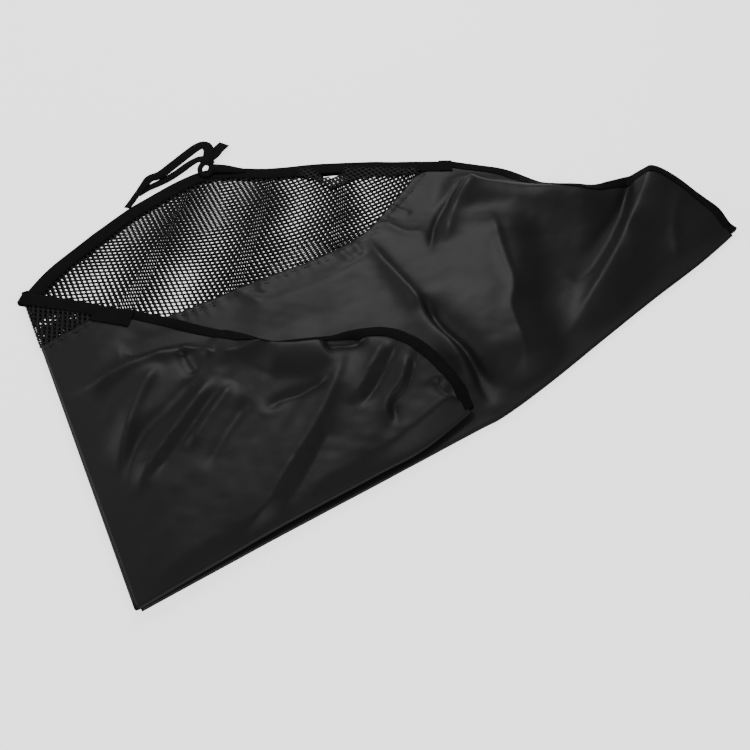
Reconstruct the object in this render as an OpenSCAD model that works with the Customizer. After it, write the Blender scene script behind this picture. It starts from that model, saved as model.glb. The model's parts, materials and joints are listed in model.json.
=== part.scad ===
// Kayak spray skirt, lying folded: the deck is folded in half along its length,
// and its left end is turned over once more onto the front of the folded deck.
// +X runs to the skirt's pointed end, +Y from the folded edge to the open rim, +Z up.

/* [Cloth] */
// Thickness of the coated deck cloth
cloth_t = 0.8; // [0.6:0.1:0.9]
// Thickness of the mesh netting
mesh_t = 1.0; // [0.8:0.1:1.1]
// Rise from one folded layer to the next
layer_pitch = 3.2; // [3.2:0.1:4]

/* [Rim tapes] */
// Width of the webbing band that edges the mesh
band_w = 20; // [18:1:24]
// Width of the folded binding that edges the coated cloth
binding_w = 13; // [12:1:15]
// Thickness of one ply of either tape
ply_t = 0.6; // [0.4:0.1:0.7]
// Slot between the two plies of a tape
slot_t = 1.6; // [1.5:0.1:1.8]
// How deep the edge of the cloth sits in the tape
tuck = 5; // [4:0.5:6]
// Width of the flat elastic inside the binding
elastic_w = 5; // [4:0.5:6]
// Width of the draw tape inside the webbing band
draw_w = 9; // [7:0.5:10]
// Width of the turned hem where the mesh meets the cloth
hem_w = 12; // [8:1:14]

/* [Tie] */
// Width of the tie tape
tie_w = 9; // [7:0.5:10]
// Thickness of the tie tape
tie_t = 1.2; // [0.8:0.1:1.4]

/* [Relief] */
// Height of the puffed pointed end above the flat layers
lobe_rise = 28; // [0:1:30]
// Height of the swell under the turned-over end
middle_rise = 14; // [0:1:16]
// Extra height of the turned-over end's own swell
flap_rise = 16; // [0:1:18]

/* [Hidden] */

tape_t = 2 * ply_t + slot_t;
gap = 0.2;

// The fold where the left end turns over runs from fold_top to fold_foot.
fold_top = [-430, 50];
fold_foot = [-235, -330];
fold_dir = (fold_foot - fold_top) / norm(fold_foot - fold_top);
// Unit vector across the fold, towards the pointed end.
fold_side = [-fold_dir[1], fold_dir[0]];
// First points of every layer stand this far inside the fold line.
fold_room = 3;

// Corners of the folded deck.
seam_start = [-389, -30];
seam_end = [36, 262];
band_stop = [84, 288];
point = [434, 161];
flap_seam_end = [-337, 8];
flap_band_stop = [-291, 19];
flap_corner = [86, -112];

// Folded lower edge of the deck, from the fold's foot to the pointed end.
lower_edge = [fold_foot, [-113, -255], [-18, -198], [86, -135], [119, -115], [173, -71], [236, -15],
              [304, 45], [377, 107], point];
// Seam between mesh and cloth.
seam_line = [seam_start, [-258, 18], [-165, 68], [-72, 118], [-30, 152], [-4, 193], [18, 229],
             seam_end];
// Open rim of the mesh, under the webbing band.
mesh_rim = [fold_top, [-409, 94], [-364, 156], [-322, 206], [-246, 268], [-157, 274], [-65, 285],
            band_stop];
// Open rim of the cloth, under the folded binding.
cloth_rim = [band_stop, [148, 273], [196, 243], [245, 226], [285, 236], [330, 243], [372, 226],
             [404, 197], point];
// The turned-over end: its folded lower edge, its mesh seam and its rim.
flap_lower_edge = [fold_foot, [-113, -249], [-18, -191], [32, -160], flap_corner];
flap_seam_line = [seam_start, flap_seam_end];
flap_mesh_rim = [fold_top, [-383, 40], [-338, 29], flap_band_stop];
flap_cloth_rim = [flap_band_stop, [-216, 0], [-169, -15], [-128, -32], [-79, -29], [-40, -14], [5, -20],
                  [50, -60], flap_corner];

// Tie tape: centre lines of its two strands and of its free tail.
outer_strand = [[-336, 214], [-318, 257], [-292, 288], [-269, 313], [-253, 325], [-240, 312]];
inner_strand = [[-316, 240], [-295, 262], [-271, 283], [-254, 294]];
tail_line = [[-237, 290], [-231, 305], [-221, 322]];
knot_at = [-246, 283];

function smooth(x) = let (c = min(1, max(0, x))) c * c * (3 - 2 * c);
function swell(p, centre, radius) = exp(-pow(norm(p - centre) / radius, 2));
function past_fold(p) = (p - fold_top) * fold_side;

// Relief of the folded deck and of the turned-over end, nothing near the fold.
function deck_relief(p) = smooth(past_fold(p) / 200)
    * (lobe_rise * swell(p, [250, 95], 150) + middle_rise * swell(p, [-20, 20], 150));
function flap_relief(p) = deck_relief(p)
    + smooth(past_fold(p) / 200) * (3 + flap_rise * swell(p, [-40, -80], 130));
// Height of the underside of a layer's tape, for layers 0 to 3 counted from below.
function layer_base(p, layer) = layer * layer_pitch
    + (layer == 0 ? 0 : layer == 1 ? deck_relief(p) : flap_relief(p));

// Smooth curve through points, with a share of each span between every pair.
function between(a, b, c, d, t) = 0.5 * (2 * b + (c - a) * t
    + (2 * a - 5 * b + 4 * c - d) * t * t + (3 * b - a - 3 * c + d) * t * t * t);
function curve(p, steps = 6) = let (last = len(p) - 1) [
    for (i = [0:last - 1], s = [0:steps - 1])
        between(p[max(0, i - 1)], p[i], p[i + 1], p[min(last, i + 2)], s / steps),
    p[last]
];
// Distance run along a path at each of its points, and the path's even division in n.
function run(p) = [for (s = 0, i = 0; i < len(p);
    s = s + (i < len(p) - 1 ? norm(p[i + 1] - p[i]) : 0), i = i + 1) s];
function span(r, s, i = 0) = i >= len(r) - 2 || r[i + 1] >= s ? i : span(r, s, i + 1);
function divide(p, n, from = 0, to = 1) = let (r = run(p), all = r[len(r) - 1]) [
    for (j = [0:n]) let (s = all * (from + (to - from) * j / n), i = span(r, s))
        p[i] + (p[i + 1] - p[i]) * (s - r[i]) / (r[i + 1] - r[i])
];
// Unit normals to the right of a path that runs from left to right, so into the deck.
function inward(p) = let (last = len(p) - 1) [
    for (j = [0:last]) let (t = p[min(last, j + 1)] - p[max(0, j - 1)])
        [t[1], -t[0]] / norm(t)
];
function at_height(p, layer, z) = [p[0], p[1], layer_base(p, layer) + z];

// A solid skin through rings. Each ring is two equal rows of points, under and over.
module skin(rings) {
    k = len(rings[0][0]);
    n = len(rings) - 1;
    under = function (j, i) j * 2 * k + i;
    over = function (j, i) j * 2 * k + k + i;
    polyhedron(
        points = [for (ring = rings, row = ring, p = row) p],
        faces = [
            for (j = [0:n - 1], i = [0:k - 2]) each [
                [under(j, i), under(j + 1, i), under(j + 1, i + 1)],
                [under(j, i), under(j + 1, i + 1), under(j, i + 1)],
                [over(j, i), over(j + 1, i + 1), over(j + 1, i)],
                [over(j, i), over(j, i + 1), over(j + 1, i + 1)]
            ],
            for (j = [0:n - 1]) each [
                [under(j, 0), over(j + 1, 0), under(j + 1, 0)],
                [under(j, 0), over(j, 0), over(j + 1, 0)],
                [under(j, k - 1), under(j + 1, k - 1), over(j + 1, k - 1)],
                [under(j, k - 1), over(j + 1, k - 1), over(j, k - 1)]
            ],
            for (i = [0:k - 2]) each [
                [under(0, i), under(0, i + 1), over(0, i + 1)],
                [under(0, i), over(0, i + 1), over(0, i)],
                [under(n, i), over(n, i + 1), under(n, i + 1)],
                [under(n, i), over(n, i), over(n, i + 1)]
            ]
        ]);
}

// A tape folded over an edge: an open U that the cloth's edge sits in.
module edge_tape(rim, layer, width) {
    outer = [[width, 0], [0, 0], [0, tape_t], [width, tape_t]];
    inner = [[width, ply_t], [ply_t, ply_t], [ply_t, tape_t - ply_t], [width, tape_t - ply_t]];
    normals = inward(rim);
    skin([for (j = [0:len(rim) - 1])
        [for (row = [outer, inner]) [for (q = row) at_height(rim[j] + normals[j] * q[0], layer, q[1])]]]);
}

// The lowest band lies flat, so its plies are flat plates.
module flat_edge_tape(rim, width) {
    normals = inward(rim);
    side = function (u) [for (j = [0:len(rim) - 1]) rim[j] + normals[j] * u];
    turned = function (p) [for (j = [len(p) - 1:-1:0]) p[j]];
    difference() {
        linear_extrude(tape_t) polygon(concat(side(0), turned(side(width))));
        translate([0, 0, ply_t])
            linear_extrude(slot_t) polygon(concat(side(ply_t), turned(side(width + 1))));
    }
}

// A flat strip along a path, from one inward distance to another.
module strip(path, layer, from, to, z, thick) {
    normals = inward(path);
    skin([for (j = [0:len(path) - 1])
        [for (lift = [0, thick])
            [for (u = [to, from]) at_height(path[j] + normals[j] * u, layer, z + lift)]]]);
}

// A cloth between its lower curve and its rim, whose last rows sit inside the edge tape.
module cloth(low, rim, layer, thick, rows, cover) {
    normals = inward(rim);
    z = ply_t + (slot_t - thick) / 2;
    row_points = function (j) let (top = rim[j] + normals[j] * (cover[j] + 1)) [
        for (i = [0:rows - 1]) low[j] + (top - low[j]) * i / (rows - 1),
        rim[j] + normals[j] * (cover[j] - (cover[j] > 0 ? tuck : 0))
    ];
    skin([for (j = [0:len(rim) - 1])
        [for (lift = [0, thick]) [for (p = row_points(j)) at_height(p, layer, z + lift)]]]);
}

// Even divisions of the deck's curves, which the cloths and tapes share.
seam_n = 26;
cloth_n = 30;
band_curve = curve(mesh_rim);
band_path = divide(band_curve, seam_n, 0.006, 1);
mesh_path = divide(band_curve, seam_n, 0.006, 0.91);
// Where the coated cloth, past the seam's end, also sits in the webbing band.
cloth_in_band = divide(band_curve, 2, 0.93, 0.985);
seam_path = divide(curve(seam_line), seam_n, 0.006, 1);
cloth_path = divide(curve(cloth_rim), cloth_n, 0.012, 0.965);
lower_path = divide(curve(lower_edge), seam_n + cloth_n + 4, 0.006, 0.975);
flap_n = 6;
flap_cloth_n = 26;
flap_band_curve = curve(flap_mesh_rim);
flap_band_path = divide(flap_band_curve, flap_n, 0.03, 1);
flap_mesh_path = divide(flap_band_curve, flap_n, 0.03, 0.6);
flap_cloth_in_band = divide(flap_band_curve, 2, 0.68, 0.97);
flap_seam_path = divide(curve(flap_seam_line), flap_n, 0.05, 1);
flap_cloth_path = divide(curve(flap_cloth_rim), flap_cloth_n, 0.015, 0.965);
flap_lower_path = divide(curve(flap_lower_edge), flap_n + flap_cloth_n + 4, 0.006, 0.97);

// Coated cloth: its far edge follows the mesh seam, the end of the band and then the binding.
module deck_cloth(low, seam, in_band, rim, layer, rows) {
    path = concat(seam, in_band, rim);
    cover = concat([for (p = seam) 0], [for (p = in_band) band_w], [for (p = rim) binding_w]);
    cloth(low, path, layer, cloth_t, rows, cover);
}

// Netting between the seam and the webbing band.
module deck_mesh(seam, seam_share, rim, layer, rows) {
    low = divide(seam, len(rim) - 1, 0, seam_share);
    sides = inward(low);
    lifted = [for (j = [0:len(rim) - 1]) low[j] - sides[j] * (gap + 1)];
    cloth(lifted, rim, layer, mesh_t, rows, [for (p = rim) band_w]);
}

module hem(seam, layer, share) {
    strip(divide(seam, len(seam) - 1, 0.02, share), layer, -hem_w / 2, hem_w / 2, gap, ply_t - gap);
}

module elastic(rim, layer) {
    strip(rim, layer, 2 * ply_t, 2 * ply_t + elastic_w, ply_t + gap, slot_t - 2 * gap);
}

module draw_tape(rim, layer) {
    run = divide(rim, len(rim) - 1, 0, 0.985);
    strip(run, layer, 2 * ply_t, 2 * ply_t + draw_w, ply_t + gap, slot_t - 2 * gap);
}

// The turned-over end of the webbing, on top of the band.
module band_end(rim, layer) {
    last = divide(rim, 24, 0.9, 1);
    strip([for (j = [18:24]) last[j]], layer, 0, band_w, tape_t + 0.05, 1);
}

// The binding's turn round the folded corner, across both layers.
module corner_turn(rim, layer, tip) {
    near = rim[len(rim) - 1];
    along = (tip - near) / norm(tip - near);
    across = [along[1], -along[0]];
    lift = layer_pitch + tape_t;
    ends = [[near + along, 0, binding_w - 1], [tip, 0, 3]];
    skin([for (e = ends) [for (z = [0, lift]) [for (u = [e[2], e[1]])
        let (p = e[0] + across * u) [p[0], p[1], layer_base(p, layer) + z]]]]);
}

module back_panel_lower() color("#26272a")
    deck_cloth(lower_path, seam_path, cloth_in_band, cloth_path, 0, 5);
module back_mesh_lower() color("#1d1d1f") deck_mesh(seam_path, 0.95, mesh_path, 0, 4);
module back_hem_lower() color("#222326") hem(seam_path, 0, 0.94);
module back_band_lower() color("#171716") flat_edge_tape(band_path, band_w);
module back_binding_lower() color("#171716") edge_tape(cloth_path, 0, binding_w);
module back_elastic_lower() color("#2e2e2e") elastic(cloth_path, 0);

module back_panel_upper() color("#26272a")
    deck_cloth(lower_path, seam_path, cloth_in_band, cloth_path, 1, 13);
module back_mesh_upper() color("#1d1d1f") deck_mesh(seam_path, 0.95, mesh_path, 1, 8);
module back_hem_upper() color("#222326") hem(seam_path, 1, 0.94);
module back_band_upper() color("#171716") edge_tape(band_path, 1, band_w);
module back_binding_upper() color("#171716") edge_tape(cloth_path, 1, binding_w);
module back_elastic_upper() color("#2e2e2e") elastic(cloth_path, 1);
module back_draw_tape() color("#171716") draw_tape(band_path, 1);
module back_band_end() color("#1f1f1e") band_end(band_path, 1);
module back_corner_turn() color("#171716") corner_turn(cloth_path, 0, point);

module flap_panel_inner() color("#26272a")
    deck_cloth(flap_lower_path, flap_seam_path, flap_cloth_in_band, flap_cloth_path, 2, 10);
module flap_mesh_inner() color("#1d1d1f") deck_mesh(flap_seam_path, 0.85, flap_mesh_path, 2, 4);
module flap_hem_inner() color("#222326") hem(flap_seam_path, 2, 0.75);
module flap_band_inner() color("#171716") edge_tape(flap_band_path, 2, band_w);
module flap_binding_inner() color("#171716") edge_tape(flap_cloth_path, 2, binding_w);
module flap_elastic_inner() color("#2e2e2e") elastic(flap_cloth_path, 2);

module flap_panel_outer() color("#26272a")
    deck_cloth(flap_lower_path, flap_seam_path, flap_cloth_in_band, flap_cloth_path, 3, 10);
module flap_mesh_outer() color("#1d1d1f") deck_mesh(flap_seam_path, 0.85, flap_mesh_path, 3, 4);
module flap_hem_outer() color("#222326") hem(flap_seam_path, 3, 0.75);
module flap_band_outer() color("#171716") edge_tape(flap_band_path, 3, band_w);
module flap_binding_outer() color("#171716") edge_tape(flap_cloth_path, 3, binding_w);
module flap_elastic_outer() color("#2e2e2e") elastic(flap_cloth_path, 3);
module flap_draw_tape() color("#171716") draw_tape(flap_band_path, 3);
module flap_band_end() color("#1f1f1e") band_end(flap_band_path, 3);
module flap_corner_turn() color("#171716") corner_turn(flap_cloth_path, 2, flap_corner);

// A length of flat tape along its centre line.
module flat_tape(line, z) {
    path = divide(curve(line), 3 * len(line));
    sides = inward(path);
    skin([for (j = [0:len(path) - 1]) [for (lift = [0, tie_t]) [for (u = [1, -1])
        let (p = path[j] + sides[j] * u * tie_w / 2) [p[0], p[1], z + lift]]]]);
}

module tie_knot() color("#171716")
    translate([knot_at[0], knot_at[1], 0])
        rotate([0, 0, 66])
            linear_extrude(2 * layer_pitch)
                offset(r = 2) square([8, 5], center = true);
module tie_outer_strand() color("#171716") flat_tape(outer_strand, 3);
module tie_inner_strand() color("#171716") flat_tape(inner_strand, 1);
module tie_tail() color("#171716") flat_tape(tail_line, 1);

back_panel_lower();
back_mesh_lower();
back_hem_lower();
back_band_lower();
back_binding_lower();
back_elastic_lower();
back_panel_upper();
back_mesh_upper();
back_hem_upper();
back_band_upper();
back_binding_upper();
back_elastic_upper();
back_draw_tape();
back_band_end();
back_corner_turn();
tie_knot();
flap_panel_inner();
flap_mesh_inner();
flap_hem_inner();
flap_band_inner();
flap_binding_inner();
flap_elastic_inner();
flap_panel_outer();
flap_mesh_outer();
flap_hem_outer();
flap_band_outer();
flap_binding_outer();
flap_elastic_outer();
flap_draw_tape();
flap_band_end();
flap_corner_turn();
tie_outer_strand();
tie_inner_strand();
tie_tail();
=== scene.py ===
import json
import math

import bpy
import numpy as np
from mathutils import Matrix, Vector


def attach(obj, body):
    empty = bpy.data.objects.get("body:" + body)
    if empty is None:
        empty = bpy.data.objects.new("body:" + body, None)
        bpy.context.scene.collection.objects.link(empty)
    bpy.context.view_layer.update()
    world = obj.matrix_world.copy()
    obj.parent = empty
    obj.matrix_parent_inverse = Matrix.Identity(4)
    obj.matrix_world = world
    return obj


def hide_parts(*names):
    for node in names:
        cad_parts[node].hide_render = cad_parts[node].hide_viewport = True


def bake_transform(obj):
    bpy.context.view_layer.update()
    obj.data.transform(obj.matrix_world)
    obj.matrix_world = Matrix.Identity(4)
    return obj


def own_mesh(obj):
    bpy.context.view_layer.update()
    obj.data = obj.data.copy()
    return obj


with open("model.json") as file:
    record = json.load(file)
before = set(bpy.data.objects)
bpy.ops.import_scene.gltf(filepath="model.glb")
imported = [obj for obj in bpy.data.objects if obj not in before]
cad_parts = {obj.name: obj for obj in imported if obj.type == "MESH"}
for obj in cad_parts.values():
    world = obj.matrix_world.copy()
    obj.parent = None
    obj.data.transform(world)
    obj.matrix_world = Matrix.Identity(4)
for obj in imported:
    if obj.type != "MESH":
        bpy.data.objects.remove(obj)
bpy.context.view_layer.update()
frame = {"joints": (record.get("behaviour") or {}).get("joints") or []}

# A kayak spray skirt of black coated cloth, lying folded. All lengths in the making functions are
# millimetres in the frame's own axes, and mesh_piece turns them into metres.
MM = 0.001

# Layers, as the frame has them: each layer lies LAYER_PITCH over the one below.
LAYER_PITCH = 3.2
CLOTH_Z = 1.4
CLOTH_T = 0.55
TAPE_T = 2.6
BAND_W = 20.0
BINDING_W = 13.0
LOWER_SHIFT = 11.0
END_BAND_W = 17.0
# Radius of the outer and of the inner layer round the end's fold, and where its netting starts.
OUTER_FOLD = 4.8
INNER_FOLD = 1.6
NET_AT_FOLD = 10
# Ridges narrower than this are sharp.
SHARP_WIDTH = 22
# Dark and light tones of the woven tapes. The dark one falls in the grooves between the ribs as painted
# shade, and both also vary in random patches.
TAPE_TONES = ((0.0032, 0.0032, 0.003), (0.013, 0.0128, 0.0122))
# Where the end's cloth rolls over its rim: centre, half width, size.
END_ROLLS = [(0.44, 0.12, 13.0)]

# Corner points and outlines of the folded deck.
FOLD_TOP = (-430, 50)
FOLD_FOOT = (-235, -330)
SEAM_START = (-389, -30)
BAND_STOP = (84, 288)
POINT = (434, 161)
FLAP_BAND_STOP = (-291, 19)
FLAP_CORNER = (86, -112)
LOWER_EDGE = [FOLD_FOOT, (-113, -255), (-18, -198), (86, -135), (119, -115), (173, -71), (236, -15),
              (304, 45), (377, 107), POINT]
SEAM_LINE = [SEAM_START, (-258, 18), (-165, 68), (-72, 118), (-30, 152), (-4, 193), (18, 229),
             (36, 262)]
MESH_RIM = [FOLD_TOP, (-409, 94), (-364, 156), (-322, 206), (-246, 268), (-157, 274), (-65, 285),
            BAND_STOP]
CLOTH_RIM = [BAND_STOP, (148, 273), (196, 243), (245, 226), (285, 236), (330, 243), (372, 226),
             (404, 197), POINT]
# Where the netting hangs away from its band, and the pleat of netting pushed up beside it.
NET_GAP = [(-96, 274), (-62, 276), (-66, 255), (-86, 253)]
NET_PLEAT = [(-123, 273), (-117, 259), (-73, 233), (-44, 249), (39, 262), (42, 275), (-60, 276),
             (-64, 255), (-86, 252), (-98, 274)]
FLAP_LOWER_EDGE = [FOLD_FOOT, (-113, -249), (-18, -191), (32, -160), FLAP_CORNER]
FLAP_SEAM_LINE = [SEAM_START, (-337, 8)]
FLAP_MESH_RIM = [FOLD_TOP, (-383, 40), (-338, 29), FLAP_BAND_STOP]
FLAP_CLOTH_RIM = [FLAP_BAND_STOP, (-216, 0), (-169, -15), (-128, -32), (-79, -29), (-40, -14), (5, -20),
                  (50, -60), FLAP_CORNER]

# The hinges of the turned-over end and of the tie's loop, from the frame's own joints.
END_FOLD = next(j for j in frame["joints"] if j["name"] == "end_fold")
TIE_LOOP = next(j for j in frame["joints"] if j["name"] == "tie_loop_swing")
HINGE_Z = END_FOLD["pos_m"][2] / MM
FOLD_DIR = np.array(END_FOLD["axis"][:2], float)
FOLD_SIDE = np.array([-FOLD_DIR[1], FOLD_DIR[0]])
FOLD_SPAN = float(np.linalg.norm(np.array(FOLD_FOOT) - np.array(FOLD_TOP)))
SEAM_AT = float(np.linalg.norm(np.array(SEAM_START) - np.array(FOLD_TOP)))


# ------------ camera, light and floor
def new_object(name, data):
    made = bpy.data.objects.new(name, data)
    bpy.context.scene.collection.objects.link(made)
    return made


def make_camera():
    """A hand-held view from in front and above."""
    elevation = math.radians(54)
    distance = 0.935
    aim = Vector((-0.018, -0.061, 0.0))
    data = bpy.data.cameras.new("camera")
    data.sensor_width = 36.0
    data.lens = 40.8
    camera = new_object("camera", data)
    back = Vector((0, -math.cos(elevation), math.sin(elevation)))
    camera.location = aim + back * distance
    camera.rotation_mode = "QUATERNION"
    camera.rotation_quaternion = (-back).to_track_quat("-Z", "Y")
    bpy.context.scene.camera = camera


def area_light(name, place, aim, size, watts):
    data = bpy.data.lights.new(name, "AREA")
    data.shape = "RECTANGLE"
    data.size, data.size_y = size
    data.energy = watts
    light = new_object(name, data)
    light.location = place
    light.rotation_mode = "QUATERNION"
    light.rotation_quaternion = (Vector(aim) - Vector(place)).to_track_quat("-Z", "Y")


def make_studio():
    world = bpy.data.worlds.new("studio")
    bpy.context.scene.world = world
    world.use_nodes = True
    world.node_tree.nodes["Background"].inputs["Color"].default_value = (1, 1, 1, 1)
    world.node_tree.nodes["Background"].inputs["Strength"].default_value = 0.14
    area_light("key", (-1.95, 0.15, 0.8), (0, 0, 0), (0.9, 0.7), 11)
    area_light("back", (-0.12, 1.25, 1.25), (0, 0, 0), (0.8, 0.55), 10.5)
    area_light("front", (0.9, -1.5, 1.5), (0, 0, 0), (1.2, 0.9), 15)

    mesh = bpy.data.meshes.new("floor")
    reach = 40.0
    mesh.from_pydata([(-reach, -reach, 0), (reach, -reach, 0), (reach, reach, 0), (-reach, reach, 0)],
                     [], [(0, 1, 2, 3)])
    floor = new_object("floor", mesh)
    floor.location.z = -0.0008
    material, tree, shader = new_material("pale_floor")
    shader.inputs["Base Color"].default_value = (0.93, 0.93, 0.93, 1)
    shader.inputs["Roughness"].default_value = 0.75
    shader.inputs["Emission Color"].default_value = (1, 1, 1, 1)
    seen = tree.nodes.new("ShaderNodeLightPath").outputs["Is Camera Ray"]
    link(tree, ranged(tree, seen, 0.3, 1.75), shader.inputs["Emission Strength"])
    mesh.materials.append(material)


# ------------ node helpers
def link(tree, source, target):
    tree.links.new(source, target)


def add_node(tree, kind, **values):
    node = tree.nodes.new(kind)
    for name, value in values.items():
        if hasattr(node, name):
            setattr(node, name, value)
        else:
            node.inputs[name.replace("_", " ")].default_value = value
    return node


def math_node(tree, operation, first, second=None):
    node = tree.nodes.new("ShaderNodeMath")
    node.operation = operation
    for socket, value in zip(node.inputs, (first, second)):
        if value is None:
            continue
        if isinstance(value, (int, float)):
            socket.default_value = value
        else:
            link(tree, value, socket)
    return node.outputs[0]


def new_group(name, inputs, outputs):
    """A shader node group. inputs: (name, kind, default) rows. outputs: (name, kind) rows."""
    group = bpy.data.node_groups.new(name, "ShaderNodeTree")
    for label, kind, default in inputs:
        socket = group.interface.new_socket(label, in_out="INPUT", socket_type=kind)
        if default is not None:
            socket.default_value = default
    for label, kind in outputs:
        group.interface.new_socket(label, in_out="OUTPUT", socket_type=kind)
    return group, group.nodes.new("NodeGroupInput"), group.nodes.new("NodeGroupOutput")


def place_group(tree, group, **values):
    node = tree.nodes.new("ShaderNodeGroup")
    node.node_tree = group
    for name, value in values.items():
        socket = node.inputs[name.replace("_", " ")]
        if isinstance(value, bpy.types.NodeSocket):
            link(tree, value, socket)
        else:
            socket.default_value = value
    return node


def weave_group():
    """A plain weave: two crossed sets of threads, as a height from 0 to 1."""
    group, given, out = new_group(
        "plain_weave",
        [("Vector", "NodeSocketVector", None), ("Threads per metre", "NodeSocketFloat", 2200.0)],
        [("Height", "NodeSocketFloat")])
    scaled = group.nodes.new("ShaderNodeVectorMath")
    scaled.operation = "SCALE"
    link(group, given.outputs["Vector"], scaled.inputs[0])
    link(group, given.outputs["Threads per metre"], scaled.inputs["Scale"])
    parts = group.nodes.new("ShaderNodeSeparateXYZ")
    link(group, scaled.outputs[0], parts.inputs[0])
    across = math_node(group, "SINE", math_node(group, "MULTIPLY", parts.outputs[0], math.pi))
    along = math_node(group, "SINE", math_node(group, "MULTIPLY", parts.outputs[1], math.pi))
    product = math_node(group, "MULTIPLY", across, along)
    raised = math_node(group, "MULTIPLY_ADD", product, 0.5)
    raised.node.inputs[2].default_value = 0.5
    link(group, raised, out.inputs["Height"])
    return group


def wear_group():
    """Soft uneven areas and fine dust: masks for colour and roughness, and a creased height."""
    group, given, out = new_group(
        "handled_surface",
        [("Vector", "NodeSocketVector", None), ("Patch size", "NodeSocketFloat", 9.0),
         ("Crease size", "NodeSocketFloat", 70.0)],
        [("Patches", "NodeSocketFloat"), ("Dust", "NodeSocketFloat"), ("Creases", "NodeSocketFloat")])
    patches = add_node(group, "ShaderNodeTexNoise", Detail=3.0, Roughness=0.55)
    link(group, given.outputs["Vector"], patches.inputs["Vector"])
    link(group, given.outputs["Patch size"], patches.inputs["Scale"])
    link(group, patches.outputs["Fac"], out.inputs["Patches"])
    dust = add_node(group, "ShaderNodeTexNoise", Scale=900.0, Detail=2.0)
    link(group, given.outputs["Vector"], dust.inputs["Vector"])
    speck = group.nodes.new("ShaderNodeMapRange")
    speck.inputs["From Min"].default_value = 0.66
    speck.inputs["From Max"].default_value = 0.8
    link(group, dust.outputs["Fac"], speck.inputs["Value"])
    link(group, speck.outputs["Result"], out.inputs["Dust"])
    creases = add_node(group, "ShaderNodeTexNoise", Detail=4.0, Roughness=0.5, Distortion=0.6)
    link(group, given.outputs["Vector"], creases.inputs["Vector"])
    link(group, given.outputs["Crease size"], creases.inputs["Scale"])
    link(group, creases.outputs["Fac"], out.inputs["Creases"])
    return group


def rib_group():
    """Ribs across a woven tape, from its own length and width coordinates."""
    group, given, out = new_group(
        "tape_ribs",
        [("Vector", "NodeSocketVector", None), ("Ribs per metre", "NodeSocketFloat", 900.0),
         ("Yarns per metre", "NodeSocketFloat", 1500.0)],
        [("Height", "NodeSocketFloat")])
    parts = group.nodes.new("ShaderNodeSeparateXYZ")
    link(group, given.outputs["Vector"], parts.inputs[0])
    turn = 2 * math.pi
    ribs = math_node(group, "MULTIPLY", parts.outputs[0], given.outputs["Ribs per metre"])
    yarns = math_node(group, "MULTIPLY", parts.outputs[1], given.outputs["Yarns per metre"])
    rib = math_node(group, "ABSOLUTE", math_node(group, "SINE", math_node(group, "MULTIPLY", ribs, turn / 2)))
    yarn = math_node(group, "SINE", math_node(group, "MULTIPLY", yarns, turn))
    mixed = math_node(group, "MULTIPLY_ADD", yarn, 0.2)
    link(group, rib, mixed.node.inputs[2])
    link(group, mixed, out.inputs["Height"])
    return group


def two_tones(tree, mask, dark, light):
    mix = tree.nodes.new("ShaderNodeMix")
    mix.data_type = "RGBA"
    link(tree, mask, mix.inputs["Factor"])
    mix.inputs["A"].default_value = (*dark, 1)
    mix.inputs["B"].default_value = (*light, 1)
    return mix.outputs["Result"]


def ranged(tree, value, low, high):
    node = tree.nodes.new("ShaderNodeMapRange")
    link(tree, value, node.inputs["Value"])
    node.inputs["To Min"].default_value = low
    node.inputs["To Max"].default_value = high
    return node.outputs["Result"]


def bumped(tree, heights, shader):
    """Chains bumps onto the shader's normal. heights: (socket, distance in metres, strength) rows."""
    normal = None
    for height, distance, strength in heights:
        bump = add_node(tree, "ShaderNodeBump", Strength=strength, Distance=distance)
        link(tree, height, bump.inputs["Height"])
        if normal is not None:
            link(tree, normal, bump.inputs["Normal"])
        normal = bump.outputs["Normal"]
    link(tree, normal, shader.inputs["Normal"])


def new_material(name):
    material = bpy.data.materials.new(name)
    material.use_nodes = True
    tree = material.node_tree
    return material, tree, tree.nodes["Principled BSDF"]


def coated_cloth_material(weave, wear):
    """Coated deck cloth: near black, satin, a fine plain weave under a smooth coating."""
    material, tree, shader = new_material("coated_cloth")
    place = tree.nodes.new("ShaderNodeTexCoord").outputs["Object"]
    threads = place_group(tree, weave, Vector=place, Threads_per_metre=1500.0)
    used = place_group(tree, wear, Vector=place, Patch_size=7.0, Crease_size=60.0)
    base = two_tones(tree, used.outputs["Patches"], (0.0075, 0.0075, 0.0077), (0.0115, 0.0114, 0.0116))
    dusty = tree.nodes.new("ShaderNodeMix")
    dusty.data_type = "RGBA"
    link(tree, math_node(tree, "MULTIPLY", used.outputs["Dust"], 0.12), dusty.inputs["Factor"])
    link(tree, base, dusty.inputs["A"])
    dusty.inputs["B"].default_value = (0.1, 0.1, 0.098, 1)
    link(tree, dusty.outputs["Result"], shader.inputs["Base Color"])
    link(tree, ranged(tree, used.outputs["Patches"], 0.46, 0.58), shader.inputs["Roughness"])
    shader.inputs["Specular IOR Level"].default_value = 0.42
    bumped(tree, [(used.outputs["Creases"], 0.0007, 0.25), (threads.outputs["Height"], 0.00006, 0.5)],
           shader)
    return material


def yarn_material(name, wear, patch, crease, tones, specular, roughness, bump):
    """Netting yarn or sewing thread: black with a low gloss."""
    material, tree, shader = new_material(name)
    place = tree.nodes.new("ShaderNodeTexCoord").outputs["Object"]
    used = place_group(tree, wear, Vector=place, Patch_size=patch, Crease_size=crease)
    dark, light = ((tone, tone, tone) for tone in tones)
    link(tree, two_tones(tree, used.outputs["Patches"], dark, light), shader.inputs["Base Color"])
    shader.inputs["Specular IOR Level"].default_value = specular
    link(tree, ranged(tree, used.outputs["Patches"], *roughness), shader.inputs["Roughness"])
    bumped(tree, [(used.outputs["Creases"], bump, 0.5)], shader)
    return material


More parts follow.
